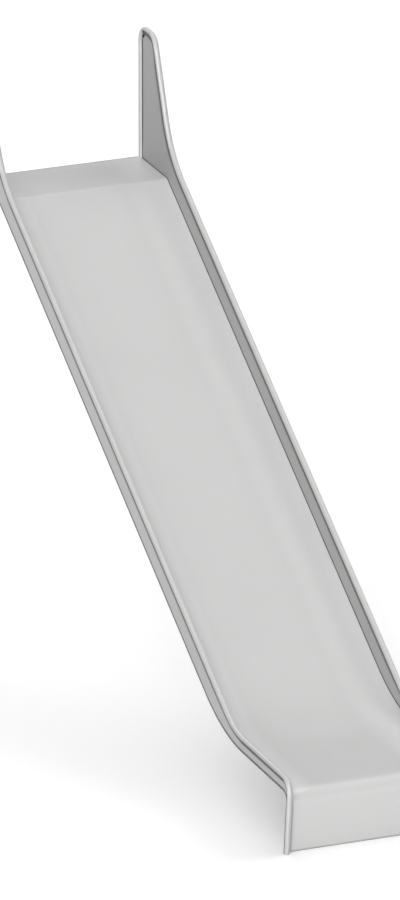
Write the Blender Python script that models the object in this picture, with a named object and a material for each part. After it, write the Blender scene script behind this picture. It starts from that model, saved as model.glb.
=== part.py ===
"""A stainless steel playground slide: a chute with side panels, rails and ground legs.

Metres, +Z up. The slide runs down towards -Y and X is its width. The origin lies on the ground,
at the middle of the overall length and width. Left is -X, as seen from the foot of the slide.
"""

import math

import bmesh
import bpy
from mathutils import Matrix, Vector

# Chute
CLEAR_WIDTH = 1.000
CHUTE_SHEET = 0.003
PLATFORM_HEIGHT = 2.292
EXIT_HEIGHT = 0.348
INCLINE_ANGLE = math.radians(30.33)
ENTRY_LENGTH = 0.410
RUNOUT_LENGTH = 0.921
SKIRT_LEAN = math.radians(6.4)
ENTRY_BEND_RADIUS = 0.030
TRANSITION_RADIUS = 1.035
NOSE_RADIUS = 0.068

# Rails. The rises are from the chute's sliding face to the rail's axis.
RAIL_DIAMETER = 0.0337
RAIL_WALL = 0.0026
RAIL_RISE_ON_INCLINE = 0.1505
RAIL_RISE_ON_RUNOUT = 0.0745
RAIL_TRANSITION_RADIUS = 0.506
RAIL_NOSE_RADIUS = 0.069
RAIL_TIP_RADIUS = 0.080
RAIL_CAP = 0.003
RAIL_CAP_INSET = 0.0005

# Fins, measured on the rail's axis
FIN_HEIGHT = 0.766
FIN_TOP_LENGTH = 0.199
FIN_FRONT_LEAN = math.radians(21.4)
FIN_BLEND_RADIUS = 0.603

# Side panels. The drop is from the sliding face to the panel's lower edge.
PANEL_SHEET = 0.003
PANEL_DROP = 0.0045
PANEL_RETURN = 0.012
PANEL_NOSE_RADIUS = 0.055

# Plugs in the panels' hanging holes
PLUG_DIAMETER = 0.010
PLUG_HEAD_DIAMETER = 0.014
PLUG_HEAD = 0.002
PLUG_EDGE_DISTANCE = 0.011

# Channel stiffeners
STIFFENER_SHEET = 0.0025
STIFFENER_WIDTH = 0.060
STIFFENER_DEPTH = 0.040
STIFFENER_BEND_RADIUS = 0.006
STIFFENER_INSET = 0.045
INCLINE_STIFFENERS = 5
RUNOUT_STIFFENER_MARGIN = 0.070

# Mounting angle, its holes and gussets
ANGLE_LEG = 0.060
ANGLE_SHEET = 0.005
ANGLE_BEND_RADIUS = 0.006
MOUNT_HOLES = 4
MOUNT_HOLE_DIAMETER = 0.014
MOUNT_HOLE_DROP = 0.036
MOUNT_HOLE_END_DISTANCE = 0.060
GUSSET_LEG = 0.044
GUSSET_SHEET = 0.005
GUSSET_CLIP = 0.004

# Flat bar behind the skirt's lower edge
SKIRT_BAR_HEIGHT = 0.030
SKIRT_BAR_SHEET = 0.005
SKIRT_BAR_LIFT = 0.004

# Ground legs
LEG_INSET = 0.160
HANGER_WIDTH = 0.060
HANGER_HEIGHT = 0.125
HANGER_SHEET = 0.005
HANGER_DROP = 0.004
LEG_FLANGE = 0.050
LEG_SHEET = 0.005
LEG_BEND_RADIUS = 0.008
LEG_HEADROOM = 0.024
SLOT_TRAVEL = 0.014
BASE_PLATE_WIDTH = 0.150
BASE_PLATE_DEPTH = 0.110
BASE_PLATE_SHEET = 0.008
ANCHOR_HOLE_DIAMETER = 0.014
ANCHOR_HOLE_END_DISTANCE = 0.020

# M10 fasteners of the legs
BOLT_DIAMETER = 0.010
BOLT_HOLE_DIAMETER = 0.011
BOLT_EDGE_DISTANCE = 0.025
BOLT_PITCH = 0.042
BOLT_PROTRUSION = 0.004
BOLT_POINT_CHAMFER = 0.001
HEX_ACROSS_FLATS = 0.016
HEX_CHAMFER = 0.001
BOLT_HEAD = 0.0064
NUT_HEIGHT = 0.0084
WASHER_DIAMETER = 0.020
WASHER_SHEET = 0.002

# Clearances and fineness
GAP = 0.0003
CUT_MARGIN = 0.010
SMALLEST_RADIUS = 0.0005
BEND_STEP = math.radians(12)
ARC_CHORD = 0.060
TUBE_SIDES = 12
HOLE_SIDES = 16
TURNED_SIDES = 12
HEX_SIDES = 6
SMOOTH_ANGLE = math.radians(30)

# Places that follow from the sizes. The skirt's foot is at Y = 0 until the slide is centred.
RAIL_RADIUS = RAIL_DIAMETER / 2
RAIL_X = CLEAR_WIDTH / 2 + PANEL_SHEET / 2
NOSE_Y = -EXIT_HEIGHT * math.tan(SKIRT_LEAN)
TRANSITION_Y = NOSE_Y + RUNOUT_LENGTH
BEND_Y = TRANSITION_Y + (PLATFORM_HEIGHT - EXIT_HEIGHT) / math.tan(INCLINE_ANGLE)
REAR_Y = BEND_Y + ENTRY_LENGTH
RAIL_REAR_Y = REAR_Y - RAIL_RADIUS
ANGLE_TOP = PLATFORM_HEIGHT - CHUTE_SHEET - GAP
RAIL_REAR_FOOT = ANGLE_TOP - ANGLE_LEG
LEG_X = CLEAR_WIDTH / 2 - LEG_INSET

SIDES = {"left": -1, "right": 1}

SATIN_STEEL = ((0.62, 0.62, 0.61), 0.38, 0.9)
POLISHED_STEEL = ((0.66, 0.66, 0.65), 0.30, 0.9)
RAW_STEEL = ((0.50, 0.50, 0.49), 0.50, 0.9)
ZINC = ((0.58, 0.59, 0.60), 0.35, 1.0)
BLACK_PLASTIC = ((0.02, 0.02, 0.02), 0.55, 0.0)


# Flat geometry


def left_of(way):
    return Vector((-way.y, way.x))


def crossing(start, way, other_start, other_way):
    """Where two lines in a plane cross."""
    return start + way * (other_start - start).cross(other_way) / way.cross(other_way)


class Route:
    """A line through corners in a plane, with a round bend at each inner corner."""

    def __init__(self, corners, radii, steps=None):
        self.corners = [Vector(corner) for corner in corners]
        self.ways = [(b - a).normalized() for a, b in zip(self.corners, self.corners[1:])]
        self.turns = [math.atan2(a.cross(b), a.dot(b)) for a, b in zip(self.ways, self.ways[1:])]
        self.radii = [max(radius, SMALLEST_RADIUS) for radius in radii]
        self.steps = steps or [self.fineness(index) for index in range(len(self.radii))]

    def fineness(self, index):
        """Chords in a bend: a parallel route keeps the count, so that its chords stay parallel."""
        angle = abs(self.turns[index])
        length = angle * self.radii[index]
        return max(2, math.ceil(angle / BEND_STEP), math.ceil(length / ARC_CHORD))

    def offset(self, distance):
        """The parallel route at this distance to the left."""
        starts = [corner + left_of(way) * distance for corner, way in zip(self.corners, self.ways)]
        corners = [starts[0]]
        for index in range(len(self.turns)):
            here, there = index, index + 1
            corners.append(crossing(starts[here], self.ways[here], starts[there], self.ways[there]))
        corners.append(self.corners[-1] + left_of(self.ways[-1]) * distance)
        radii = [
            radius - distance * math.copysign(1, angle)
            for radius, angle in zip(self.radii, self.turns)
        ]
        return Route(corners, radii, self.steps)

    def ended_at_height(self, height):
        """The same route with its last stretch cut off or drawn out to a height."""
        last = crossing(self.corners[-1], self.ways[-1], Vector((0, height)), Vector((1, 0)))
        return Route(self.corners[:-1] + [last], self.radii, self.steps)

    def bend(self, index):
        """The points of one bend, from its start to its end."""
        way, angle, radius = self.ways[index], self.turns[index], self.radii[index]
        start = self.corners[index + 1] - way * radius * math.tan(abs(angle) / 2)
        centre = start + left_of(way) * math.copysign(radius, angle)
        steps = self.steps[index]
        return [
            centre + Matrix.Rotation(angle * step / steps, 2) @ (start - centre)
            for step in range(steps + 1)
        ]

    def points(self):
        found = [self.corners[0]]
        for index in range(len(self.turns)):
            found += self.bend(index)
        return found + [self.corners[-1]]


def sheet_outline(face, back):
    """The cut edge of a folded sheet between its two faces."""
    return face.points() + back.points()[::-1]


def round_outline(centre, radius, stretch=0.0):
    """A round hole, or a slot drawn out by stretch along the plane's second axis."""
    outline = []
    for side in range(HOLE_SIDES):
        angle = 2 * math.pi * (side + 0.5) / HOLE_SIDES
        shift = math.copysign(stretch / 2, math.sin(angle))
        outline.append((centre[0] + radius * math.cos(angle), centre[1] + radius * math.sin(angle) + shift))
    return outline


def rectangle(left, right, low, high):
    return [(left, low), (right, low), (right, high), (left, high)]


def mirrored(outline, side):
    return [(side * point[0], point[1]) for point in outline]


def spread(reach, count):
    """Evenly spaced places from -reach to reach."""
    return [reach * (2 * index / (count - 1) - 1) for index in range(count)]


# The chute and rail routes, in the YZ plane, from the platform to the ground


def chute_route():
    corners = [
        (REAR_Y, PLATFORM_HEIGHT),
        (BEND_Y, PLATFORM_HEIGHT),
        (TRANSITION_Y, EXIT_HEIGHT),
        (NOSE_Y, EXIT_HEIGHT),
        (0, 0),
    ]
    return Route(corners, [ENTRY_BEND_RADIUS, TRANSITION_RADIUS, NOSE_RADIUS])


def rail_route():
    chute = chute_route()
    fin_top = PLATFORM_HEIGHT + FIN_HEIGHT
    front = Vector((RAIL_REAR_Y - FIN_TOP_LENGTH, fin_top))
    front_way = Vector((-math.sin(FIN_FRONT_LEAN), -math.cos(FIN_FRONT_LEAN)))
    incline, runout, skirt = chute.ways[1], chute.ways[2], chute.ways[3]
    on_incline = chute.corners[1] - left_of(incline) * RAIL_RISE_ON_INCLINE
    on_runout = chute.corners[3] - left_of(runout) * RAIL_RISE_ON_RUNOUT
    on_skirt = chute.corners[3] - left_of(skirt) * (RAIL_RADIUS + GAP)
    corners = [
        (RAIL_REAR_Y, RAIL_REAR_FOOT + RAIL_CAP + GAP),
        (RAIL_REAR_Y, fin_top),
        front,
        crossing(front, front_way, on_incline, incline),
        crossing(on_incline, incline, on_runout, runout),
        crossing(on_runout, runout, on_skirt, skirt),
        on_skirt + skirt,
    ]
    radii = [
        RAIL_TIP_RADIUS,
        RAIL_TIP_RADIUS,
        FIN_BLEND_RADIUS,
        RAIL_TRANSITION_RADIUS,
        RAIL_NOSE_RADIUS,
    ]
    return Route(corners, radii).ended_at_height(RAIL_CAP + GAP)


def panel_outline():
    """Below, a line parallel to the chute; above, the rail's inner side, with a weld gap to each."""
    chute = chute_route()
    lower = chute.offset(PANEL_DROP)
    behind_skirt = chute.offset(PANEL_RETURN)
    nose = crossing(lower.corners[3], lower.ways[2], behind_skirt.corners[4], behind_skirt.ways[3])
    rear = Vector((RAIL_REAR_Y - RAIL_RADIUS - GAP, lower.corners[0].y))
    corners = [rear, lower.corners[1], lower.corners[2], nose, nose + lower.ways[3]]
    radii = lower.radii[:2] + [PANEL_NOSE_RADIUS]
    below = Route(corners, radii).ended_at_height(0)
    rail_side = rail_route().offset(RAIL_RADIUS + GAP)
    above = Route([rear] + rail_side.corners[1:], rail_side.radii, rail_side.steps)
    return below.points()[1:] + above.ended_at_height(0).points()[::-1]


# Solids


def in_space(point, distance, normal):
    """A plane's point, moved this far along the axis that the plane is square to."""
    u, v = point
    return {"X": (distance, u, v), "Y": (u, distance, v), "Z": (u, v, distance)}[normal]


def add_prism(mesh, outline, low, high, normal):
    bottom = [mesh.verts.new(in_space(point, low, normal)) for point in outline]
    top = [mesh.verts.new(in_space(point, high, normal)) for point in outline]
    mesh.faces.new(bottom[::-1])
    mesh.faces.new(top)
    for index in range(len(outline)):
        after = (index + 1) % len(outline)
        mesh.faces.new((bottom[index], bottom[after], top[after], top[index]))


def finished(mesh, name):
    """The mesh data, with its faces turned outward and its flat faces kept sharp."""
    bmesh.ops.recalc_face_normals(mesh, faces=mesh.faces)
    data = bpy.data.meshes.new(name)
    mesh.to_mesh(data)
    mesh.free()
    data.shade_smooth()
    data.set_sharp_from_angle(angle=SMOOTH_ANGLE)
    return data


def extrusion(name, outline, low, high, normal):
    mesh = bmesh.new()
    add_prism(mesh, outline, low, high, normal)
    return finished(mesh, name)


def bridge(mesh, rings):
    """Quads between each ring of vertices and the next."""
    for ring, after in zip(rings, rings[1:]):
        for index in range(len(ring)):
            further = (index + 1) % len(ring)
            mesh.faces.new((ring[index], ring[further], after[further], after[index]))


def tube_rings(mesh, points, radius, x):
    """One ring of vertices round each point of a route, the last and first cut off level."""
    rings = []
    for index, point in enumerate(points):
        before = points[index] - points[index - 1] if index else points[1] - points[0]
        after = points[index + 1] - points[index] if index + 1 < len(points) else before
        way = (before.normalized() + after.normalized()).normalized()
        ring = []
        for side in range(TUBE_SIDES):
            angle = 2 * math.pi * side / TUBE_SIDES
            place = point + left_of(way) * radius * math.cos(angle)
            if index in (0, len(points) - 1):
                place += way * (point.y - place.y) / way.y
            ring.append(mesh.verts.new((x + radius * math.sin(angle), place.x, place.y)))
        rings.append(ring)
    return rings


def bent_tube(name, route, radius, wall, x):
    mesh = bmesh.new()
    points = route.points()
    outer = tube_rings(mesh, points, radius, x)
    inner = tube_rings(mesh, points, radius - wall, x)
    bridge(mesh, outer)
    bridge(mesh, inner)
    bridge(mesh, [outer[0], inner[0]])
    bridge(mesh, [outer[-1], inner[-1]])
    return finished(mesh, name)


def turned(name, levels, bored=False):
    """Rings stacked along Z. A level is (height, radius), or (height, across flats, HEX_SIDES)."""
    mesh = bmesh.new()
    rings = []
    for height, size, *corners in levels:
        ring = []
        for side in range(TURNED_SIDES):
            angle = 2 * math.pi * side / TURNED_SIDES
            reach = size
            if corners:
                sector = 2 * math.pi / corners[0]
                reach = size / 2 / math.cos((angle + sector / 2) % sector - sector / 2)
            ring.append(mesh.verts.new((reach * math.cos(angle), reach * math.sin(angle), height)))
        rings.append(ring)
    bridge(mesh, rings)
    if bored:
        bridge(mesh, [rings[-1], rings[0]])
    else:
        mesh.faces.new(rings[0][::-1])
        mesh.faces.new(rings[-1])
    return finished(mesh, name)


# Objects


def principled(name, finish):
    colour, roughness, metallic = finish
    material = bpy.data.materials.new(name)
    material.use_nodes = True
    shader = material.node_tree.nodes["Principled BSDF"]
    shader.inputs["Base Color"].default_value = (*colour, 1)
    shader.inputs["Roughness"].default_value = roughness
    shader.inputs["Metallic"].default_value = metallic
    return material


def add_piece(name, data, finish, slide, location=(0, 0, 0), rotation=(0, 0, 0)):
    piece = bpy.data.objects.new(name, data)
    bpy.context.scene.collection.objects.link(piece)
    piece.parent = slide
    piece.location = location
    piece.rotation_euler = rotation
    if not data.materials:
        data.materials.append(principled(name + "_finish", finish))
    return piece


def cut(piece, prisms):
    """Cuts prisms, each (outline, low, high, normal) in the piece's own space, out of a piece."""
    mesh = bmesh.new()
    for outline, low, high, normal in prisms:
        add_prism(mesh, outline, low, high, normal)
    cutter = bpy.data.objects.new(piece.name + "_cutter", finished(mesh, piece.name + "_cutter"))
    bpy.context.scene.collection.objects.link(cutter)
    cutter.parent = piece
    cutter.hide_render = True
    cutter.display_type = "WIRE"
    modifier = piece.modifiers.new("cut", "BOOLEAN")
    modifier.object = cutter
    modifier.operation = "DIFFERENCE"
    modifier.solver = "EXACT"


# Sub-parts


def chute_bed(slide):
    face = chute_route()
    outline = sheet_outline(face, face.offset(CHUTE_SHEET).ended_at_height(0))
    reach = CLEAR_WIDTH / 2 - GAP
    bed = add_piece("chute_bed", extrusion("chute_bed", outline, -reach, reach, "X"), SATIN_STEEL, slide)
    cut(bed, [rail_notch(side) for side in SIDES.values()])


def rail_notch(side):
    """The coped rear corner, where a rail passes the bed on its way down to the mounting angle."""
    radius = RAIL_RADIUS + GAP
    rear = REAR_Y + CUT_MARGIN
    outline = [(RAIL_X + radius, rear), (RAIL_X - radius, rear)]
    for step in range(HOLE_SIDES // 2 + 1):
        angle = math.pi + math.pi * step / (HOLE_SIDES // 2)
        outline.append((RAIL_X + radius * math.cos(angle), RAIL_REAR_Y + radius * math.sin(angle)))
    low = PLATFORM_HEIGHT - CHUTE_SHEET - CUT_MARGIN
    return mirrored(outline, side), low, PLATFORM_HEIGHT + CUT_MARGIN, "Z"


def plug_place():
    """The hanging hole's centre, in the corner that the rail makes where it turns over the tip."""
    rail = rail_route()
    radius = rail.radii[0]
    centre = Vector((RAIL_REAR_Y - radius, PLATFORM_HEIGHT + FIN_HEIGHT - radius))
    reach = radius - RAIL_RADIUS - PLUG_EDGE_DISTANCE
    return centre + Vector((1, 1)).normalized() * reach


def side_panel(slide, name, side):
    low, high = sorted((side * CLEAR_WIDTH / 2, side * (CLEAR_WIDTH / 2 + PANEL_SHEET)))
    node = name + "_side_panel"
    panel = add_piece(node, extrusion(node, panel_outline(), low, high, "X"), SATIN_STEEL, slide)
    hole = round_outline(plug_place(), PLUG_DIAMETER / 2)
    cut(panel, [(hole, low - CUT_MARGIN, high + CUT_MARGIN, "X")])


def hole_plug(slide, name, side):
    """A snap-in plug whose heads cover the hanging hole on both faces."""
    shank = PLUG_DIAMETER / 2 * math.cos(math.pi / HOLE_SIDES) - GAP
    face = PANEL_SHEET / 2 + GAP
    head = PLUG_HEAD_DIAMETER / 2
    levels = [
        (-face - PLUG_HEAD, head / 2),
        (-face - PLUG_HEAD / 2, head),
        (-face, head),
        (-face, shank),
        (face, shank),
        (face, head),
        (face + PLUG_HEAD / 2, head),
        (face + PLUG_HEAD, head / 2),
    ]
    place = plug_place()
    data = turned(name + "_hole_plug", levels)
    location = (side * RAIL_X, place.x, place.y)
    add_piece(name + "_hole_plug", data, BLACK_PLASTIC, slide, location, (0, math.pi / 2, 0))


def rail(slide, name, side):
    """The bent tube and the two discs that close it."""
    route = rail_route()
    node = name + "_rail"
    data = bent_tube(node, route, RAIL_RADIUS, RAIL_WALL, side * RAIL_X)
    add_piece(node, data, POLISHED_STEEL, slide)
    radius = RAIL_RADIUS - RAIL_CAP_INSET
    cap = turned(name + "_rail_cap", [(0, radius), (RAIL_CAP, radius)])
    rear = (side * RAIL_X, RAIL_REAR_Y, RAIL_REAR_FOOT)
    add_piece(name + "_rail_rear_cap", cap, POLISHED_STEEL, slide, rear)
    foot = route.ended_at_height(0).corners[-1]
    add_piece(name + "_rail_ground_cap", cap, POLISHED_STEEL, slide, (side * RAIL_X, foot.x, 0))


def stiffener_outline():
    """A channel open towards the chute, whose underside is at height 0."""
    half = STIFFENER_WIDTH / 2
    corners = [(-half, -GAP), (-half, -STIFFENER_DEPTH), (half, -STIFFENER_DEPTH), (half, -GAP)]
    face = Route(corners, [STIFFENER_BEND_RADIUS, STIFFENER_BEND_RADIUS])
    return sheet_outline(face, face.offset(STIFFENER_SHEET))


def under_chute(place, slope):
    """The point of the chute's underside below a point of its sliding face."""
    normal = Vector((-math.sin(slope), math.cos(slope)))
    return place - normal * CHUTE_SHEET


def front_stiffener_y():
    return chute_route().bend(2)[0].x + RUNOUT_STIFFENER_MARGIN


def stiffener_stations():
    """Each stiffener's name, its place on the sliding face and the slope there."""
    chute = chute_route()
    entry = Vector(((REAR_Y - ANGLE_LEG + BEND_Y) / 2, PLATFORM_HEIGHT))
    yield "entry_stiffener", entry, 0
    top, bottom = chute.bend(0)[-1], chute.bend(1)[0]
    for index in range(INCLINE_STIFFENERS):
        share = (index + 0.5) / INCLINE_STIFFENERS
        yield f"incline_stiffener_{index + 1}", top.lerp(bottom, share), INCLINE_ANGLE
    rear = chute.bend(1)[-1].x - RUNOUT_STIFFENER_MARGIN
    yield "runout_stiffener_rear", Vector((rear, EXIT_HEIGHT)), 0
    yield "runout_stiffener_front", Vector((front_stiffener_y(), EXIT_HEIGHT)), 0


def stiffeners(slide):
    reach = CLEAR_WIDTH / 2 - STIFFENER_INSET
    data = extrusion("stiffener", stiffener_outline(), -reach, reach, "X")
    for name, station, slope in stiffener_stations():
        place = under_chute(station, slope)
        add_piece(name, data, RAW_STEEL, slide, (0, place.x, place.y), (slope, 0, 0))


def mounting_angle(slide):
    """The angle under the chute's rear edge, whose upright leg is bolted to the platform."""
    corners = [
        (REAR_Y - ANGLE_LEG, ANGLE_TOP),
        (REAR_Y, ANGLE_TOP),
        (REAR_Y, ANGLE_TOP - ANGLE_LEG),
    ]
    face = Route(corners, [ANGLE_BEND_RADIUS])
    outline = sheet_outline(face, face.offset(-ANGLE_SHEET))
    reach = RAIL_X - RAIL_RADIUS - GAP
    data = extrusion("mounting_angle", outline, -reach, reach, "X")
    angle = add_piece("mounting_angle", data, RAW_STEEL, slide)
    holes = spread(reach - MOUNT_HOLE_END_DISTANCE, MOUNT_HOLES)
    radius = MOUNT_HOLE_DIAMETER / 2
    height = ANGLE_TOP - MOUNT_HOLE_DROP
    front, rear = REAR_Y - ANGLE_SHEET - CUT_MARGIN, REAR_Y + CUT_MARGIN
    cut(angle, [(round_outline((x, height), radius), front, rear, "Y") for x in holes])
    gussets(slide, [(a + b) / 2 for a, b in zip(holes, holes[1:])])


def gussets(slide, places):
    """Three-cornered plates inside the mounting angle, clipped at its inner bend."""
    top = -ANGLE_SHEET - GAP
    outline = [
        (top - GUSSET_CLIP, top),
        (top - GUSSET_LEG, top),
        (top, top - GUSSET_LEG),
        (top, top - GUSSET_CLIP),
    ]
    half = GUSSET_SHEET / 2
    data = extrusion("gusset", outline, -half, half, "X")
    for index, x in enumerate(places):
        add_piece(f"angle_gusset_{index + 1}", data, RAW_STEEL, slide, (x, REAR_Y, ANGLE_TOP))


def skirt_bar(slide):
    """The flat bar behind the skirt's lower edge, which leans as the skirt does."""
    front = CHUTE_SHEET + GAP
    outline = rectangle(
        front,
        front + SKIRT_BAR_SHEET,
        SKIRT_BAR_LIFT,
        SKIRT_BAR_LIFT + SKIRT_BAR_HEIGHT,
    )
    reach = CLEAR_WIDTH / 2 - STIFFENER_INSET
    data = extrusion("skirt_bar", outline, -reach, reach, "X")
    add_piece("skirt_bar", data, RAW_STEEL, slide, rotation=(SKIRT_LEAN, 0, 0))


def leg_levels():
    """Heights of the hanger plate's two ends and of the two bolts."""
    top = EXIT_HEIGHT - CHUTE_SHEET - HANGER_DROP
    bottom = top - HANGER_HEIGHT
    bolts = [bottom + BOLT_EDGE_DISTANCE, bottom + BOLT_EDGE_DISTANCE + BOLT_PITCH]
    return bottom, top, bolts


def ground_leg(slide, name, side):
    """Hanger plate, slotted angle leg, base plate and the fasteners between them."""
    bottom, top, bolts = leg_levels()
    half = HANGER_WIDTH / 2
    hanger_front = front_stiffener_y() + STIFFENER_WIDTH / 2 + GAP
    leg_front = hanger_front + HANGER_SHEET + GAP
    x = side * LEG_X

    outline = rectangle(x - half, x + half, bottom, top)
    data = extrusion(name + "_leg_hanger", outline, hanger_front, hanger_front + HANGER_SHEET, "Y")
    hanger = add_piece(name + "_leg_hanger", data, RAW_STEEL, slide)
    hanger_holes = [round_outline((x, z), BOLT_HOLE_DIAMETER / 2) for z in bolts]
    cut(hanger, [(hole, hanger_front - CUT_MARGIN, leg_front + CUT_MARGIN, "Y") for hole in hanger_holes])

    corners = [
        (LEG_X - LEG_FLANGE / 2, leg_front),
        (LEG_X + LEG_FLANGE / 2, leg_front),
        (LEG_X + LEG_FLANGE / 2, leg_front + LEG_FLANGE),
    ]
    face = Route(corners, [LEG_BEND_RADIUS])
    outline = mirrored(sheet_outline(face, face.offset(LEG_SHEET)), side)
    leg_top = bolts[-1] + LEG_HEADROOM
    data = extrusion(name + "_leg", outline, BASE_PLATE_SHEET + GAP, leg_top, "Z")
    leg = add_piece(name + "_leg", data, RAW_STEEL, slide)
    slots = [round_outline((x, z), BOLT_HOLE_DIAMETER / 2, SLOT_TRAVEL) for z in bolts]
    rear = leg_front + LEG_SHEET + CUT_MARGIN
    cut(leg, [(slot, leg_front - CUT_MARGIN, rear, "Y") for slot in slots])

    base_plate(slide, name, x, leg_front + LEG_FLANGE / 2)
    for number, z in enumerate(bolts, start=1):
        leg_fastener(slide, f"{name}_leg", number, x, hanger_front, z)


def base_plate(slide, name, x, y):
    half_width, half_depth = BASE_PLATE_WIDTH / 2, BASE_PLATE_DEPTH / 2
    outline = rectangle(x - half_width, x + half_width, y - half_depth, y + half_depth)
    node = name + "_base_plate"
    plate = add_piece(node, extrusion(node, outline, 0, BASE_PLATE_SHEET, "Z"), RAW_STEEL, slide)
    reach = half_width - ANCHOR_HOLE_END_DISTANCE
    radius = ANCHOR_HOLE_DIAMETER / 2
    holes = [round_outline((x + shift, y), radius) for shift in (-reach, reach)]
    cut(plate, [(hole, -CUT_MARGIN, BASE_PLATE_SHEET + CUT_MARGIN, "Z") for hole in holes])


def leg_fastener(slide, name, number, x, hanger_front, z):
    """A bolt from behind through washer, leg and hanger into a nut on the hanger's front."""
    along_y = (-math.pi / 2, 0, 0)
    washer_front = hanger_front + HANGER_SHEET + GAP + LEG_SHEET + GAP
    head_front = washer_front + WASHER_SHEET + GAP
    nut_front = hanger_front - GAP - NUT_HEIGHT
    shank = head_front - nut_front + BOLT_PROTRUSION
    radius = BOLT_DIAMETER / 2
    bore = radius + GAP
    crown = HEX_ACROSS_FLATS / 2
    bolt_levels = [
        (-shank, radius - BOLT_POINT_CHAMFER),
        (-shank + BOLT_POINT_CHAMFER, radius),
        (0, radius),
        (0, HEX_ACROSS_FLATS, HEX_SIDES),
        (BOLT_HEAD - HEX_CHAMFER, HEX_ACROSS_FLATS, HEX_SIDES),
        (BOLT_HEAD, crown),
    ]
    nut_levels = [
        (0, bore),
        (0, crown),
        (HEX_CHAMFER, HEX_ACROSS_FLATS, HEX_SIDES),
        (NUT_HEIGHT, HEX_ACROSS_FLATS, HEX_SIDES),
        (NUT_HEIGHT, bore),
    ]
    outer = WASHER_DIAMETER / 2
    washer_levels = [(0, bore), (0, outer), (WASHER_SHEET, outer), (WASHER_SHEET, bore)]
    for kind, levels, y in (
        ("bolt", bolt_levels, head_front),
        ("washer", washer_levels, washer_front),
        ("nut", nut_levels, nut_front),
    ):
        node = f"{name}_{kind}_{number}"
        data = turned(node, levels, bored=kind != "bolt")
        add_piece(node, data, ZINC, slide, (x, y, z), along_y)


def clear_scene():
    for item in list(bpy.data.objects):
        bpy.data.objects.remove(item, do_unlink=True)


def build():
    clear_scene()
    slide = bpy.data.objects.new("playground_slide", None)
    bpy.context.scene.collection.objects.link(slide)
    front = min(point.x for point in rail_route().points()) - RAIL_RADIUS
    slide.location.y = -(front + REAR_Y) / 2
    chute_bed(slide)
    for name, side in SIDES.items():
        side_panel(slide, name, side)
        hole_plug(slide, name, side)
        rail(slide, name, side)
        ground_leg(slide, name, side)
    stiffeners(slide)
    mounting_angle(slide)
    skirt_bar(slide)


build()
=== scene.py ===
import math

import bmesh
import bpy
import numpy
from mathutils import Matrix, Vector


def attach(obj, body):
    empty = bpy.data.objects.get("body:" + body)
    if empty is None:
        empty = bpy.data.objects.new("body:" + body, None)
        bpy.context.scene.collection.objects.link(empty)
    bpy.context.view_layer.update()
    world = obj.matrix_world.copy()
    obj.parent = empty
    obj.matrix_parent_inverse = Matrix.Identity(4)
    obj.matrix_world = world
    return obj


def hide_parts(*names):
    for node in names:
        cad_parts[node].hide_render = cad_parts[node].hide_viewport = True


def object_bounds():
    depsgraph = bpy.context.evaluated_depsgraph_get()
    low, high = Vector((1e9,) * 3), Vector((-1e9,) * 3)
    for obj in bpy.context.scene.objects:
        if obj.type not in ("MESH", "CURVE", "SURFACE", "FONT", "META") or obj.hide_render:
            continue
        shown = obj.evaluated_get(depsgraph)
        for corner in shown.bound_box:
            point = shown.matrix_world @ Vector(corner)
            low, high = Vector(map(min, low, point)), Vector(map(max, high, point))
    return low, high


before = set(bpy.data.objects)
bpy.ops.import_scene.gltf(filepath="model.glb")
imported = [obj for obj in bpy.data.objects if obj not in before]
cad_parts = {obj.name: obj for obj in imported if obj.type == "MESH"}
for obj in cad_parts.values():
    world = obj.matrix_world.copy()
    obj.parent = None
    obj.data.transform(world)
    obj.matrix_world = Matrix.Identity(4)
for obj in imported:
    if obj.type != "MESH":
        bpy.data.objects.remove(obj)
cad_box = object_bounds()
scene = bpy.context.scene

# Driving sizes of the slide, in metres, as its solids have them, except that the plug's head is
# larger here and the hexagons' chamfer smaller
CLEAR_WIDTH = 1.000
CHUTE_SHEET = 0.003
PLATFORM_HEIGHT = 2.292
EXIT_HEIGHT = 0.348
INCLINE_ANGLE = math.radians(30.33)
ENTRY_LENGTH = 0.410
RUNOUT_LENGTH = 0.921
SKIRT_LEAN = math.radians(6.4)
ENTRY_BEND_RADIUS = 0.030
TRANSITION_RADIUS = 1.035
NOSE_RADIUS = 0.068
RAIL_DIAMETER = 0.0337
RAIL_RISE_ON_INCLINE = 0.1505
RAIL_RISE_ON_RUNOUT = 0.0745
RAIL_TRANSITION_RADIUS = 0.506
RAIL_NOSE_RADIUS = 0.069
RAIL_TIP_RADIUS = 0.080
RAIL_CAP = 0.003
FIN_HEIGHT = 0.766
FIN_TOP_LENGTH = 0.199
FIN_FRONT_LEAN = math.radians(21.4)
FIN_BLEND_RADIUS = 0.603
PANEL_SHEET = 0.003
PANEL_DROP = 0.0045
PANEL_RETURN = 0.012
PANEL_NOSE_RADIUS = 0.055
PLUG_DIAMETER = 0.010
PLUG_HEAD_DIAMETER = 0.018
PLUG_HEAD = 0.010
PLUG_EDGE_DISTANCE = 0.011
STIFFENER_SHEET = 0.0025
STIFFENER_WIDTH = 0.060
STIFFENER_DEPTH = 0.040
STIFFENER_BEND_RADIUS = 0.006
STIFFENER_INSET = 0.045
INCLINE_STIFFENERS = 5
RUNOUT_STIFFENER_MARGIN = 0.070
ANGLE_LEG = 0.060
ANGLE_SHEET = 0.005
ANGLE_BEND_RADIUS = 0.006
MOUNT_HOLES = 4
MOUNT_HOLE_DIAMETER = 0.014
MOUNT_HOLE_DROP = 0.036
MOUNT_HOLE_END_DISTANCE = 0.060
GUSSET_LEG = 0.044
GUSSET_SHEET = 0.005
GUSSET_CLIP = 0.004
SKIRT_BAR_HEIGHT = 0.030
SKIRT_BAR_SHEET = 0.005
SKIRT_BAR_LIFT = 0.004
LEG_INSET = 0.160
HANGER_WIDTH = 0.060
HANGER_HEIGHT = 0.125
HANGER_SHEET = 0.005
HANGER_DROP = 0.004
LEG_FLANGE = 0.050
LEG_SHEET = 0.005
LEG_BEND_RADIUS = 0.008
LEG_HEADROOM = 0.024
SLOT_TRAVEL = 0.014
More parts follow.
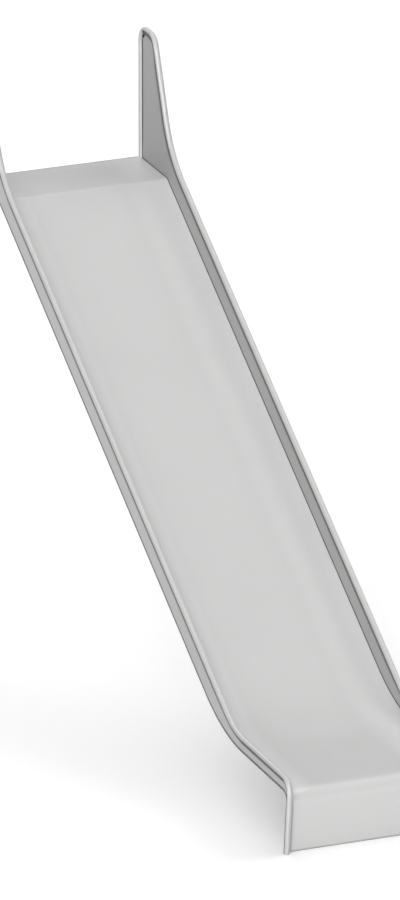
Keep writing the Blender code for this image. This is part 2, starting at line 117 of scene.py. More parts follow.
BASE_PLATE_WIDTH = 0.150
BASE_PLATE_DEPTH = 0.110
BASE_PLATE_SHEET = 0.008
PLATE_CORNER_RADIUS = 0.008
ANCHOR_HOLE_DIAMETER = 0.014
ANCHOR_HOLE_END_DISTANCE = 0.020
BOLT_DIAMETER = 0.010
BOLT_HOLE_DIAMETER = 0.011
BOLT_EDGE_DISTANCE = 0.025
BOLT_PITCH = 0.042
BOLT_PROTRUSION = 0.004
BOLT_HEAD = 0.0064
THREAD_PITCH = 0.0015
THREAD_DEPTH = 0.0009
THREAD_LENGTH = 0.018
HEX_ACROSS_FLATS = 0.016
HEX_CHAMFER = 0.0009
HEX_CHAMFER_SLOPE = 1.73
NUT_HEIGHT = 0.0084
WASHER_DIAMETER = 0.020
WASHER_SHEET = 0.002
GAP = 0.0003

# Weld beads, which stand in the corners between the pieces
BED_WELD = 0.0042
RAIL_WELD = 0.0036
RAIL_WELD_SINK = 0.0010
FRAME_WELD = 0.0040
ANGLE_END_WELD = 0.009
ANGLE_END_WELD_SETBACK = 0.010
WELD_LIFT = 0.002
STITCH_LENGTH = 0.045
STITCHES = 6
RIPPLE = 0.003
RIPPLE_DEPTH = 0.0004

# A bead's legs, the swell of its face and what is left of it at its ends, in shares of its size
BEAD_LEG = 0.78
BEAD_SWELL = 0.10
BEAD_END = 0.25

# Small roundings: broken edges, the caps' rims, and a dome's top in shares of its radius
EDGE_BREAK = 0.0006
CAP_RIM = 0.0012
CAP_FACE_INSET = 0.002
DOME_TOP = 0.05

# Fineness of the visible surfaces
BEND_STEP = math.radians(4)
ARC_CHORD = 0.030
TUBE_SIDES = 40
RAIL_STEP = 0.25
BEAD_SIDES = 10
BEAD_STEP = 0.012
HOLE_SIDES = 48
TURNED_SIDES = 48
DOME_STEPS = 6
CHAMFER_STEPS = 3
THREAD_STEPS = 4
EDGE_STEPS = 2
LATTICE = 0.020
SMOOTH_ANGLE = math.radians(35)
CUT_MARGIN = 0.010
SMALLEST_RADIUS = 0.0005

# Camera. The angles go round the slide, and the target is the middle of the view.
CAMERA_AZIMUTH = math.radians(-21.8131)
CAMERA_ELEVATION = math.radians(20.352)
CAMERA_DISTANCE = 67.38
CAMERA_TARGET = Vector((-0.2676, -0.4710, 1.6194))
CAMERA_LENS = 501.576
CAMERA_SENSOR = 36.0

# Floor and lights. Each light of the sky has a way towards it, a strength and a sharpness.
FLOOR_REACH = 600.0
FLOOR_COLOUR = (0.8, 0.8, 0.8, 1)
FLOOR_GLOW = 0.28
SKY_LIGHTS = [
    ((0, 0, 1), 0.21, 4.0),
    ((0, 0, 1), 1.58, 30.0),
    ((-0.370, -0.925, 0.087), 20.4, 40.0),
    ((0, 0.7, 0.7), 3.63, 20.0),
    ((-1, 0, 0.12), 3.18, 20.0),
    ((0.7, 0, 0.7), 4.10, 20.0),
    ((-0.5, -0.5, 0.7), 2.55, 20.0),
    ((-0.5, 0.5, 0.7), 0.54, 20.0),
]

# Places that follow from the frame and the driving sizes
RAIL_RADIUS = RAIL_DIAMETER / 2
RAIL_X = CLEAR_WIDTH / 2 + PANEL_SHEET / 2
REAR_Y = cad_box[1].y
BEND_Y = REAR_Y - ENTRY_LENGTH
TRANSITION_Y = BEND_Y - (PLATFORM_HEIGHT - EXIT_HEIGHT) / math.tan(INCLINE_ANGLE)
NOSE_Y = TRANSITION_Y - RUNOUT_LENGTH
FOOT_Y = NOSE_Y + EXIT_HEIGHT * math.tan(SKIRT_LEAN)
RAIL_REAR_Y = REAR_Y - RAIL_RADIUS
ANGLE_TOP = PLATFORM_HEIGHT - CHUTE_SHEET - GAP
RAIL_REAR_FOOT = ANGLE_TOP - ANGLE_LEG
ANGLE_REACH = RAIL_X - RAIL_RADIUS - GAP
STIFFENER_REACH = CLEAR_WIDTH / 2 - STIFFENER_INSET
LEG_X = CLEAR_WIDTH / 2 - LEG_INSET

SIDES = {"left": -1, "right": 1}

# Every stretch of the sliding face, the skirt too, looks more or less this way
SLIDING_WAY = Vector((0, -1, 1)).normalized()

# A face looks away from a direction where the cosine between them is below this
AWAY = -0.4


# Flat geometry


def left_of(way):
    return Vector((-way.y, way.x))


def crossing(start, way, other_start, other_way):
    """Where two lines in a plane cross."""
    return start + way * (other_start - start).cross(other_way) / way.cross(other_way)


class Route:
    """A line through corners in a plane, with a round bend at each inner corner."""

    def __init__(self, corners, radii, steps=None):
        self.corners = [Vector(corner) for corner in corners]
        self.ways = [(b - a).normalized() for a, b in zip(self.corners, self.corners[1:])]
        self.turns = [math.atan2(a.cross(b), a.dot(b)) for a, b in zip(self.ways, self.ways[1:])]
        self.radii = [max(radius, SMALLEST_RADIUS) for radius in radii]
        self.steps = steps or [self.fineness(index) for index in range(len(self.radii))]

    def fineness(self, index):
        angle = abs(self.turns[index])
        length = angle * self.radii[index]
        return max(2, math.ceil(angle / BEND_STEP), math.ceil(length / ARC_CHORD))

    def offset(self, distance):
        """The parallel route at this distance to the left."""
        starts = [corner + left_of(way) * distance for corner, way in zip(self.corners, self.ways)]
        corners = [starts[0]]
        for index in range(len(self.turns)):
            here, there = index, index + 1
            corners.append(crossing(starts[here], self.ways[here], starts[there], self.ways[there]))
        corners.append(self.corners[-1] + left_of(self.ways[-1]) * distance)
        radii = [
            radius - distance * math.copysign(1, angle)
            for radius, angle in zip(self.radii, self.turns)
        ]
        return Route(corners, radii, self.steps)

    def ended_at_height(self, height):
        """The same route with its last stretch cut off or drawn out to a height."""
        last = crossing(self.corners[-1], self.ways[-1], Vector((0, height)), Vector((1, 0)))
        return Route(self.corners[:-1] + [last], self.radii, self.steps)

    def bend(self, index):
        """The points of one bend, from its start to its end."""
        way, angle, radius = self.ways[index], self.turns[index], self.radii[index]
        start = self.corners[index + 1] - way * radius * math.tan(abs(angle) / 2)
        centre = start + left_of(way) * math.copysign(radius, angle)
        steps = self.steps[index]
        return [
            centre + Matrix.Rotation(angle * step / steps, 2) @ (start - centre)
            for step in range(steps + 1)
        ]

    def points(self):
        found = [self.corners[0]]
        for index in range(len(self.turns)):
            found += self.bend(index)
        return found + [self.corners[-1]]


def chute_route():
    corners = [
        (REAR_Y, PLATFORM_HEIGHT),
        (BEND_Y, PLATFORM_HEIGHT),
        (TRANSITION_Y, EXIT_HEIGHT),
        (NOSE_Y, EXIT_HEIGHT),
        (FOOT_Y, 0),
    ]
    return Route(corners, [ENTRY_BEND_RADIUS, TRANSITION_RADIUS, NOSE_RADIUS])


def rail_route():
    chute = chute_route()
    fin_top = PLATFORM_HEIGHT + FIN_HEIGHT
    front = Vector((RAIL_REAR_Y - FIN_TOP_LENGTH, fin_top))
    front_way = Vector((-math.sin(FIN_FRONT_LEAN), -math.cos(FIN_FRONT_LEAN)))
    incline, runout, skirt = chute.ways[1], chute.ways[2], chute.ways[3]
    on_incline = chute.corners[1] - left_of(incline) * RAIL_RISE_ON_INCLINE
    on_runout = chute.corners[3] - left_of(runout) * RAIL_RISE_ON_RUNOUT
    on_skirt = chute.corners[3] - left_of(skirt) * (RAIL_RADIUS + GAP)
    corners = [
        (RAIL_REAR_Y, RAIL_REAR_FOOT + RAIL_CAP + GAP),
        (RAIL_REAR_Y, fin_top),
        front,
        crossing(front, front_way, on_incline, incline),
        crossing(on_incline, incline, on_runout, runout),
        crossing(on_runout, runout, on_skirt, skirt),
        on_skirt + skirt,
    ]
    radii = [
        RAIL_TIP_RADIUS,
        RAIL_TIP_RADIUS,
        FIN_BLEND_RADIUS,
        RAIL_TRANSITION_RADIUS,
        RAIL_NOSE_RADIUS,
    ]
    return Route(corners, radii).ended_at_height(RAIL_CAP + GAP)


def panel_edges():
    """The panel's lower edge, parallel to the chute, and its upper edge, along the rail."""
    chute = chute_route()
    lower = chute.offset(PANEL_DROP)
    behind_skirt = chute.offset(PANEL_RETURN)
    nose = crossing(lower.corners[3], lower.ways[2], behind_skirt.corners[4], behind_skirt.ways[3])
    rear = Vector((RAIL_REAR_Y - RAIL_RADIUS - GAP, lower.corners[0].y))
    corners = [rear, lower.corners[1], lower.corners[2], nose, nose + lower.ways[3]]
    radii = lower.radii[:2] + [PANEL_NOSE_RADIUS]
    below = Route(corners, radii).ended_at_height(0)
    rail_side = rail_route().offset(RAIL_RADIUS + GAP)
    above = Route([rear] + rail_side.corners[1:], rail_side.radii, rail_side.steps)
    return below, above.ended_at_height(0)


def sheet_outline(face, back):
    """The cut edge of a folded sheet between its two faces."""
    return face.points() + back.points()[::-1]


def round_outline(centre, radius, stretch=0.0):
    """A round hole, or a slot drawn out by stretch along the plane's second axis."""
    outline = []
    for side in range(HOLE_SIDES):
        angle = 2 * math.pi * (side + 0.5) / HOLE_SIDES
        along = radius * math.sin(angle) + math.copysign(stretch / 2, math.sin(angle))
        outline.append((centre[0] + radius * math.cos(angle), centre[1] + along))
    return outline


def rounded_plate(left, right, low, high, radius):
    """A rectangle with round corners."""
    middle = (left + right) / 2
    corners = [(middle, low), (right, low), (right, high), (left, high), (left, low), (middle, low)]
    return Route(corners, [radius] * 4).points()[:-1]


def mirrored(outline, side):
    return [(side * point[0], point[1]) for point in outline]


def spread(reach, count):
    """Evenly spaced places from -reach to reach."""
    return [reach * (2 * index / (count - 1) - 1) for index in range(count)]


# Solids


def in_space(point, distance, normal):
    """A plane's point, moved this far along the axis that the plane is square to."""
    u, v = point
    return {"X": (distance, u, v), "Y": (u, distance, v), "Z": (u, v, distance)}[normal]


def bridge(mesh, rings):
    """Quads between each ring of vertices and the next."""
    for ring, after in zip(rings, rings[1:]):
        for index in range(len(ring)):
            further = (index + 1) % len(ring)
            mesh.faces.new((ring[index], ring[further], after[further], after[index]))


def close_ends(mesh, rings):
    mesh.faces.new(rings[0][::-1])
    mesh.faces.new(rings[-1])


def add_prism(mesh, outline, low, high, normal):
    rings = [
        [mesh.verts.new(in_space(point, distance, normal)) for point in outline]
        for distance in (low, high)
    ]
    close_ends(mesh, rings)
    bridge(mesh, rings)


def finished(mesh, name):
    """The mesh data, with its faces turned outward and its sharp edges kept."""
    bmesh.ops.recalc_face_normals(mesh, faces=mesh.faces)
    data = bpy.data.meshes.new(name)
    mesh.to_mesh(data)
    mesh.free()
    data.shade_smooth()
    data.set_sharp_from_angle(angle=SMOOTH_ANGLE)
    return data


def extrusion(name, outline, low, high, normal):
    mesh = bmesh.new()
    add_prism(mesh, outline, low, high, normal)
    return finished(mesh, name)


def subdivided(points, step):
    """The same line with no stretch longer than step."""
    found = [points[0]]
    for start, end in zip(points, points[1:]):
        count = max(1, math.ceil((end - start).length / step))
        found += [start.lerp(end, index / count) for index in range(1, count + 1)]
    return found


def sweep(name, path, section):
    """A section, in (X, out) pairs, carried along a line in the YZ plane. Out is to its left."""
    mesh = bmesh.new()
    ways = [(end - start).normalized() for start, end in zip(path, path[1:])]
    rings = []
    for point, before, after in zip(path, ways[:1] + ways, ways + ways[-1:]):
        out = left_of((before + after).normalized())
        rings.append([mesh.verts.new((x, *(point + out * outward))) for x, outward in section])
    bridge(mesh, rings)
    close_ends(mesh, rings)
    return finished(mesh, name)


def turned(name, levels, bored=False):
    """Rings stacked along Z. A level is a height and a radius, or a radius for each angle."""
    mesh = bmesh.new()
    rings = []
    for height, reach in levels:
        ring = []
        for side in range(TURNED_SIDES):
            angle = 2 * math.pi * side / TURNED_SIDES
            radius = reach(angle) if callable(reach) else reach
            ring.append(mesh.verts.new((radius * math.cos(angle), radius * math.sin(angle), height)))
        rings.append(ring)
    bridge(mesh, rings)
    if bored:
        bridge(mesh, [rings[-1], rings[0]])
    else:
        close_ends(mesh, rings)
    return finished(mesh, name)


def hexagon(widest):
    """The radius of a hexagon head at an angle, where it is no wider than this."""
    sector = math.pi / 3

    def reach(angle):
        across = HEX_ACROSS_FLATS / 2 / math.cos((angle + sector / 2) % sector - sector / 2)
        return min(across, widest)

    return reach


def thread(height):
    """The radius of the bolt's thread at an angle, at this height."""

    def reach(angle):
        turn = (height / THREAD_PITCH + angle / (2 * math.pi)) % 1
        return BOLT_DIAMETER / 2 - THREAD_DEPTH * (1 - abs(2 * turn - 1))

    return reach


def add_bead(mesh, start, end, first, second, size):
    """A fillet bead along a straight corner, rippled and run out at both ends."""
    start, end, first, second = (Vector(value) for value in (start, end, first, second))
    length = (end - start).length
    count = 2 * math.ceil(length / RIPPLE / 2)
    rings = []
    for index in range(count + 1):
        along = length * index / count
        run_out = min(1.0, min(along, length - along) / size + BEAD_END)
        leg = run_out * (size - RIPPLE_DEPTH * ((index + 1) % 2))
        corner = start.lerp(end, index / count)
        rings.append([
            mesh.verts.new(corner + (first * across + second * down) * leg)
            for across, down in BEAD_SECTION
        ])
    bridge(mesh, rings)
    close_ends(mesh, rings)


def bead_section():
    """A fillet bead's section in a corner, in shares of the bead's size."""
    section = [(0, 0)]
    for step in range(BEAD_SIDES + 1):
        angle = math.pi / 2 * step / BEAD_SIDES
        reach = BEAD_LEG + BEAD_SWELL * math.sin(2 * angle)
        section.append((reach * math.cos(angle), reach * math.sin(angle)))
    return section


BEAD_SECTION = bead_section()


# Objects


def new_object(name, data):
    added = bpy.data.objects.new(name, data)
    scene.collection.objects.link(added)
    return added


def add_piece(name, data, finish, replaced=(), location=(0, 0, 0), rotation=(0, 0, 0)):
    piece = new_object(name, data)
    piece.location = location
    piece.rotation_euler = rotation
    data.materials.append(finish.material)
    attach(piece, "root")
    if replaced:
        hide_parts(*replaced)
    return piece


def cut(piece, prisms):
    """Cuts prisms, each (outline, low, high, normal), out of a piece and applies the cut."""
    mesh = bmesh.new()
    for outline, low, high, normal in prisms:
        add_prism(mesh, outline, low, high, normal)
    cutter = new_object(piece.name + "_cutter", finished(mesh, piece.name + "_cutter"))
    modifier = piece.modifiers.new("cut", "BOOLEAN")
    modifier.object = cutter
    modifier.operation = "DIFFERENCE"
    modifier.solver = "EXACT"
    depsgraph = bpy.context.evaluated_depsgraph_get()
    data = bpy.data.meshes.new_from_object(piece.evaluated_get(depsgraph))
    piece.modifiers.clear()
    piece.data = data
    bpy.data.objects.remove(cutter, do_unlink=True)
    data.shade_smooth()
    data.set_sharp_from_angle(angle=SMOOTH_ANGLE)


def holes_through(places, diameter, low, high, normal, stretch=0.0):
    """Prisms for cut(), which go a little past a plate's two faces."""
    return [
        (round_outline(place, diameter / 2, stretch), low - CUT_MARGIN, high + CUT_MARGIN, normal)
        for place in places
    ]


def add_lattice(piece):
    """Splits a flat panel's faces by an even lattice, to carry a map of distances."""
    mesh = bmesh.new()
    mesh.from_mesh(piece.data)
    for axis in (1, 2):
        normal = Vector((0, 0, 0))
        normal[axis] = 1
        places = [vertex.co[axis] for vertex in mesh.verts]
        for index in range(1, math.ceil((max(places) - min(places)) / LATTICE)):
            geometry = mesh.verts[:] + mesh.edges[:] + mesh.faces[:]
            place = normal * (min(places) + index * LATTICE)
            bmesh.ops.bisect_plane(mesh, geom=geometry, plane_co=place, plane_no=normal)
    mesh.to_mesh(piece.data)
    mesh.free()


def store(data, name, values):
    data.attributes.new(name, "FLOAT", "POINT").data.foreach_set("value", values)


def distances(data, path):
    """How far each vertex is from a line in the YZ plane."""
    flat = numpy.array([vertex.co[1:] for vertex in data.vertices])
    nearest = numpy.full(len(flat), numpy.inf)
    for start, end in zip(path, path[1:]):
        way = numpy.array(end - start)
        along = numpy.clip((flat - start) @ way / (way @ way), 0, 1)
        away = numpy.hypot(*(flat - start - along[:, None] * way).T)
        nearest = numpy.minimum(nearest, away)
    return nearest


def break_edges(piece):
    modifier = piece.modifiers.new("edges", "BEVEL")
    modifier.width = EDGE_BREAK
    modifier.segments = EDGE_STEPS
    modifier.limit_method = "ANGLE"
    modifier.angle_limit = SMOOTH_ANGLE
    modifier.harden_normals = True


# Materials


class Nodes:
    """Short ways to make and join the nodes of one tree."""

    def __init__(self, tree):
        self.tree = tree

    def add(self, kind, **values):
        node = self.tree.nodes.new(kind)
        for key, value in values.items():
            setattr(node, key, value)
        return node

    def join(self, output, target):
        self.tree.links.new(output, target)

    def math(self, operation, first, second):
        node = self.add("ShaderNodeMath", operation=operation)
        for socket, value in zip(node.inputs, (first, second)):
            if isinstance(value, (int, float)):
                socket.default_value = value
            else:
                self.join(value, socket)
        return node.outputs["Value"]


class Finish(Nodes):
    """The nodes of one material."""

    def __init__(self, name):
        self.material = bpy.data.materials.new(name)
        self.material.use_nodes = True
        super().__init__(self.material.node_tree)
        self.shader = self.tree.nodes["Principled BSDF"]
        self.place = self.add("ShaderNodeTexCoord").outputs["Object"]

    def scaled(self, scale, turn=0.0):
        """The place in metres, turned about X and stretched."""
        node = self.add("ShaderNodeMapping", vector_type="POINT")
        node.inputs["Rotation"].default_value = (turn, 0, 0)
        node.inputs["Scale"].default_value = scale
        self.join(self.place, node.inputs["Vector"])
        return node.outputs["Vector"]

    def noise(self, place, scale=1.0, detail=2.0, roughness=0.5):
        node = self.add("ShaderNodeTexNoise")
        node.inputs["Scale"].default_value = scale
        node.inputs["Detail"].default_value = detail
        node.inputs["Roughness"].default_value = roughness
        self.join(place, node.inputs["Vector"])
        return node.outputs["Fac"]

    def ranged(self, value, low, high, to_low, to_high):
        node = self.add("ShaderNodeMapRange")
        node.inputs["From Min"].default_value = low
        node.inputs["From Max"].default_value = high
        node.inputs["To Min"].default_value = to_low
        node.inputs["To Max"].default_value = to_high
        self.join(value, node.inputs["Value"])
        return node.outputs["Result"]

    def varied(self, noise, low, high):
        """Noise stretched to run from low to high."""
        return self.ranged(noise, *NOISE_RANGE, low, high)

    def blend(self, factor, first, second):
        """A mix of two colours by a factor."""
        node = self.add("ShaderNodeMix", data_type="RGBA")
        self.join(factor, node.inputs["Factor"])
        for socket, value in ((node.inputs["A"], first), (node.inputs["B"], second)):
            if isinstance(value, tuple):
                socket.default_value = (*value, 1)
            else:
                self.join(value, socket)
        return node.outputs["Result"]

    def stored(self, name):
        return self.add("ShaderNodeAttribute", attribute_name=name).outputs["Fac"]

    def axes(self):
        """The place's X, Y and Z."""
        node = self.add("ShaderNodeSeparateXYZ")
        self.join(self.place, node.inputs["Vector"])
        return node.outputs

    def coat(self, colour):
        self.colour = colour
        self.join(colour, self.shader.inputs["Base Color"])

    def stain(self, value, clear, full, colour):
        """Turns the surface towards a colour where the value runs from clear to full."""
        patches = self.noise(self.place, scale=STAIN_SCALE, detail=3.0)
        strength = self.ranged(value, clear, full, 0, 1)
        factor = self.math("MULTIPLY", strength, self.varied(patches, STAIN_WEAKEST, 1))
        self.coat(self.blend(factor, self.colour, colour))

    def bump(self, height, strength, distance):
        node = self.add("ShaderNodeBump")
        node.inputs["Strength"].default_value = strength
        node.inputs["Distance"].default_value = distance
        self.join(height, node.inputs["Height"])
        self.join(node.outputs["Normal"], self.shader.inputs["Normal"])


# How surfaces vary: the range that noise stays in, its scales, in cells for each metre, the darkest
# and lightest shades as shares of a colour, how far the roughness goes to either side, how weak a
# stain gets in patches, and each bump's strength and height
NOISE_RANGE = (0.3, 0.7)
CLOUD_SCALE = 3.0
SPECK_SCALE = 60.0
STAIN_SCALE = 40.0
STAIN_WEAKEST = 0.85
STEEL_SHADES = (0.965, 1.03)
CLOUD_ROUGHNESS = 0.04
SPECK_ROUGHNESS = 0.02
GRAIN_BUMP = (0.25, 0.0001)
WELD_RIPPLE_SCALE = 400.0
WELD_PATCH_SCALE = 30.0
WELD_SHADES = (0.75, 1.2)
WELD_UNEVENNESS = 0.08
WELD_BUMP = (0.4, 0.0004)
PLASTIC_SCALE = 900.0
PLASTIC_SHADES = (1.0, 1.5)
PLASTIC_UNEVENNESS = 0.05
PLASTIC_BUMP = (0.2, 0.0001)


def shades(colour, shares):
    """A colour's darkest and lightest forms."""
    return [tuple(min(1.0, channel * share) for channel in colour) for share in shares]


def satin_steel(name, colour, roughness, metallic, grain, turn=0.0):
    """Ground stainless steel: fine lines along the grain, soft clouds and a little handling."""
    nodes = Finish(name)
    fine = nodes.noise(nodes.scaled(grain, turn), detail=3.0, roughness=0.6)
    clouds = nodes.noise(nodes.place, scale=CLOUD_SCALE, detail=4.0)
    specks = nodes.noise(nodes.place, scale=SPECK_SCALE, detail=5.0)
    shade = nodes.math("ADD", nodes.varied(fine, 0, 0.5), nodes.varied(clouds, 0, 0.5))
    nodes.coat(nodes.blend(shade, *shades(colour, STEEL_SHADES)))
    cloudy = nodes.varied(clouds, -CLOUD_ROUGHNESS, CLOUD_ROUGHNESS)
    handled = nodes.varied(specks, -SPECK_ROUGHNESS, SPECK_ROUGHNESS)
    rough = nodes.math("ADD", nodes.math("ADD", cloudy, handled), roughness)
    nodes.join(rough, nodes.shader.inputs["Roughness"])
    nodes.shader.inputs["Metallic"].default_value = metallic
    nodes.bump(fine, *GRAIN_BUMP)
    return nodes


def weld_metal(name, colour, roughness, metallic):
    """A bead left as welded: darker, uneven and finely rippled."""
    nodes = Finish(name)
    ripples = nodes.noise(nodes.place, scale=WELD_RIPPLE_SCALE)
    patches = nodes.noise(nodes.place, scale=WELD_PATCH_SCALE, detail=3.0)
    nodes.coat(nodes.blend(nodes.varied(patches, 0, 1), *shades(colour, WELD_SHADES)))
    rough = nodes.varied(ripples, roughness - WELD_UNEVENNESS, roughness + WELD_UNEVENNESS)
    nodes.join(rough, nodes.shader.inputs["Roughness"])
    nodes.shader.inputs["Metallic"].default_value = metallic
    nodes.bump(ripples, *WELD_BUMP)
    return nodes


def moulded_plastic(name, colour, roughness):
    """Black plastic with the fine texture of its mould."""
    nodes = Finish(name)
    texture = nodes.noise(nodes.place, scale=PLASTIC_SCALE)
    nodes.coat(nodes.blend(nodes.varied(texture, 0, 1), *shades(colour, PLASTIC_SHADES)))
    rough = nodes.varied(texture, roughness - PLASTIC_UNEVENNESS, roughness + PLASTIC_UNEVENNESS)
    nodes.join(rough, nodes.shader.inputs["Roughness"])
    nodes.bump(texture, *PLASTIC_BUMP)
    return nodes


# The bed, panel faces and rails are one steel; their base colours differ as painted light and shade.
STEEL = (0.550, 0.550, 0.548)
OUTER_STEEL = (0.505, 0.505, 0.503)
# Painted shade: the panels' inner faces are darker than their outer faces
SHADED_INNER_STEEL = (0.400, 0.400, 0.398)
RAIL_STEEL = (0.620, 0.620, 0.618)
FRAME_STEEL = (0.50, 0.50, 0.495)
FASTENER_STEEL = (0.56, 0.57, 0.58)
WELD_STEEL = (0.13, 0.13, 0.128)
# Heat tint mixed with painted shade beside the rails' welds
HEAT_TINT_AND_SHADE = (0.10, 0.10, 0.097)
OUTER_TINT_AND_SHADE = (0.15, 0.148, 0.142)
# Painted shade in the skirt's corners and at its foot, and a darker rear edge
DARKENING_GREY = (0.30, 0.295, 0.285)
# Painted light on the bed
WALL_LIGHT_STEEL = (0.75, 0.75, 0.748)
PAINTED_LIGHT_STEEL = (0.597, 0.597, 0.595)
UNDER_STEEL = (0.50, 0.50, 0.495)
# Black for the plug, a dark spot of painted shade in the rail's corner at the tip
SHADE_SPOT_BLACK = (0.012, 0.012, 0.012)

# Surfaces, each with its roughness and how metallic it is
GROUND = (0.55, 0.3)
TUBE = (0.66, 0.80)
PICKLED = (0.60, 0.4)
ROLLED = (0.55, 0.6)
MACHINED = (0.35, 0.9)
AS_WELDED = (0.55, 0.9)
PLASTIC_ROUGHNESS = 0.75

# How many lines a steel's grain has for each metre of X, Y and Z
BED_GRAIN = (900, 6, 6)
UNDER_GRAIN = (6, 400, 400)
PANEL_GRAIN = (6, 6, 900)
TUBE_GRAIN = (500, 500, 500)
FRAME_GRAIN = (8, 500, 500)
FASTENER_GRAIN = (900, 900, 900)

# Where the bed is painted lighter or darker, each band from where its stain is clear to where it is
# full: painted light at the entry, the nose and towards the walls, painted shade in the skirt's
# corners and at the foot, and darker along the rear edge. The trough is all that lies above the
# skirt. Its left and right sides are painted lighter by different amounts.
ENTRY_PAINTED_LIGHT = (BEND_Y - 0.020, BEND_Y + 0.020)
NOSE_PAINTED_HIGHLIGHT = (NOSE_Y + 0.120, NOSE_Y + 0.040)
TROUGH = (EXIT_HEIGHT - 0.048, EXIT_HEIGHT - 0.008)
LEFT_PAINTED_LIGHT = (-0.320, -CLEAR_WIDTH / 2)
RIGHT_PAINTED_LIGHT = (0.230, CLEAR_WIDTH / 2)
RIGHT_PAINTED_LIGHT_AT_ENTRY = 0.87
SKIRT = (EXIT_HEIGHT - 0.028, EXIT_HEIGHT - 0.088)
SKIRT_CORNER_SHADE = (CLEAR_WIDTH / 2 - 0.036, CLEAR_WIDTH / 2 - 0.024)
REAR_EDGE_DARKENING = (REAR_Y - 0.014, REAR_Y - 0.002)
FOOT_SHADE = (0.012, 0.002)

# Heat tint and painted shade beside the rail's weld, the band much wider than heat tint alone,
# in shares of the way from the rail to the panel's lower edge.
# It is full up to its core, a share of its reach, and narrows this many times towards the rear.
# No wall counts as wider than the widest.
OUTER_TINT_AND_SHADE_REACH = 0.26
INNER_TINT_AND_SHADE_REACH = 0.29
TINT_AND_SHADE_CORE = 0.55
WIDEST_WALL = 0.200
REAR_NARROWING = 4.0

# Heat tint from the bed's weld, by the distance to the panel's lower edge, and heat tint with painted
# shade round the rail's side that faces the panel
BED_TINT = (0.0185, 0.0105)
RAIL_TINT_AND_SHADE = (0.62, 1.00)


def bed_steel():
    """Lengthwise grain, painted light at the entry, nose and sides, and painted shade at the foot."""
    nodes = satin_steel("bed_finish", STEEL, *GROUND, BED_GRAIN)
    x, y, z = nodes.axes()
    # Painted light: the entry is lighter, and the nose carries a painted highlight
    nodes.stain(y, *ENTRY_PAINTED_LIGHT, PAINTED_LIGHT_STEEL)
    nodes.stain(y, *NOSE_PAINTED_HIGHLIGHT, PAINTED_LIGHT_STEEL)
    # Painted light: the bed grows lighter towards both walls, against the shade that the walls cast
    in_trough = nodes.math("MULTIPLY", x, nodes.ranged(z, *TROUGH, 0, 1))
    less_at_entry = nodes.ranged(y, *ENTRY_PAINTED_LIGHT, 1, RIGHT_PAINTED_LIGHT_AT_ENTRY)
    nodes.stain(nodes.math("MULTIPLY", in_trough, less_at_entry), *RIGHT_PAINTED_LIGHT, WALL_LIGHT_STEEL)
    nodes.stain(in_trough, *LEFT_PAINTED_LIGHT, WALL_LIGHT_STEEL)
    # Painted shade in the skirt's corners beside the rails and at its foot; darker along the rear edge
    aside = nodes.ranged(nodes.math("ABSOLUTE", x, 0), *SKIRT_CORNER_SHADE, 0, 1)
    nodes.stain(nodes.math("MULTIPLY", aside, nodes.ranged(z, *SKIRT, 0, 1)), 0, 1, DARKENING_GREY)
    nodes.stain(y, *REAR_EDGE_DARKENING, DARKENING_GREY)
    nodes.stain(z, *FOOT_SHADE, DARKENING_GREY)
    return nodes


def panel_steel(name, colour, tint_and_shade, reach):
    """Grain along the incline, and heat tint with painted shade that fades out from the rail's weld.
    """
    nodes = satin_steel(name, colour, *GROUND, PANEL_GRAIN, -INCLINE_ANGLE)
    nodes.stain(nodes.stored("shade_under_rail"), reach, reach * TINT_AND_SHADE_CORE, tint_and_shade)
    return nodes


def outer_panel_steel():
    """The outer faces, which show the bed's weld from behind as well."""
    nodes = panel_steel("panel_finish", OUTER_STEEL, OUTER_TINT_AND_SHADE, OUTER_TINT_AND_SHADE_REACH)
    nodes.stain(nodes.stored("to_edge"), *BED_TINT, HEAT_TINT_AND_SHADE)
    return nodes


def rail_steel():
    """Fine even grain, and heat tint with painted shade round the side that faces the panel."""
    nodes = satin_steel("rail_finish", RAIL_STEEL, *TUBE, TUBE_GRAIN)
    nodes.stain(nodes.stored("shaded_side"), *RAIL_TINT_AND_SHADE, HEAT_TINT_AND_SHADE)
    return nodes


bed_finish = bed_steel()
under_finish = satin_steel("under_finish", UNDER_STEEL, *PICKLED, UNDER_GRAIN)
panel_finish = outer_panel_steel()
shaded_inner_finish = panel_steel("shaded_inner_finish", SHADED_INNER_STEEL, HEAT_TINT_AND_SHADE, INNER_TINT_AND_SHADE_REACH)
rail_finish = rail_steel()
frame_finish = satin_steel("frame_finish", FRAME_STEEL, *ROLLED, FRAME_GRAIN)
fastener_finish = satin_steel("fastener_finish", FASTENER_STEEL, *MACHINED, FASTENER_GRAIN)
weld_finish = weld_metal("weld_finish", WELD_STEEL, *AS_WELDED)
shade_spot_plug_finish = moulded_plastic("shade_spot_plug_finish", SHADE_SPOT_BLACK, PLASTIC_ROUGHNESS)


# Chute


def rail_notch(side):
    """The coped rear corner, where a rail passes the bed on its way down to the mounting angle."""
    radius = RAIL_RADIUS + GAP
    rear = REAR_Y + CUT_MARGIN
    outline = [(RAIL_X + radius, rear), (RAIL_X - radius, rear)]
    for step in range(HOLE_SIDES // 2 + 1):
        angle = math.pi + math.pi * step / (HOLE_SIDES // 2)
        outline.append((RAIL_X + radius * math.cos(angle), RAIL_REAR_Y + radius * math.sin(angle)))
    low = PLATFORM_HEIGHT - CHUTE_SHEET - CUT_MARGIN
    return mirrored(outline, side), low, PLATFORM_HEIGHT + CUT_MARGIN, "Z"


